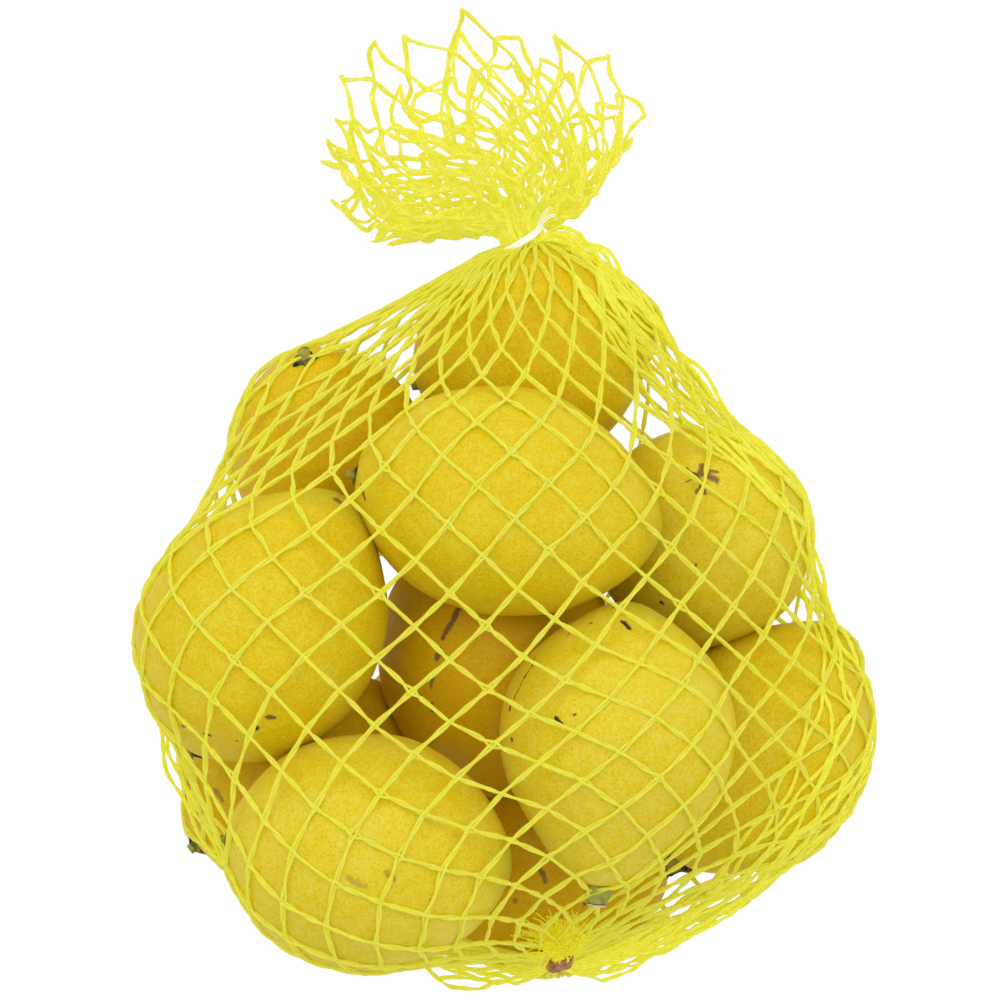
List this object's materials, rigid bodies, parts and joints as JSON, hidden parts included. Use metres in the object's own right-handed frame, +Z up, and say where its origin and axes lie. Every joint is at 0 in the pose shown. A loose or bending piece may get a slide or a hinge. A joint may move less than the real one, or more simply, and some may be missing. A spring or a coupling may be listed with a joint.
{
  "type": "net bag of lemons",
  "caption": "Open-mesh net bag filled with lemons, tied at the neck with a ruffled end above the tie, clipped at the bottom, lying on its back.",
  "frame": {"origin": "on the floor, under the middle of the whole as it lies on its back", "axes": "+Z up, out of the side that is seen; +Y from the clip to the ruffled end above the tie; +X to the right as seen from above"},
  "size_m": [0.1922, 0.2592, 0.1095],
  "materials": {
    "netting": "slightly shiny knitted plastic tape",
    "white_band": "satin",
    "copper": "dull copper-coloured wire",
    "lemon_peel": "waxy peel with fine pores",
    "lemon_stem": "dry"
  },
  "bodies": {
    "root": {"net_bag": "netting", "tie": "white_band", "clip": "copper", "net_end": "netting"}
  },
  "joints": []
}
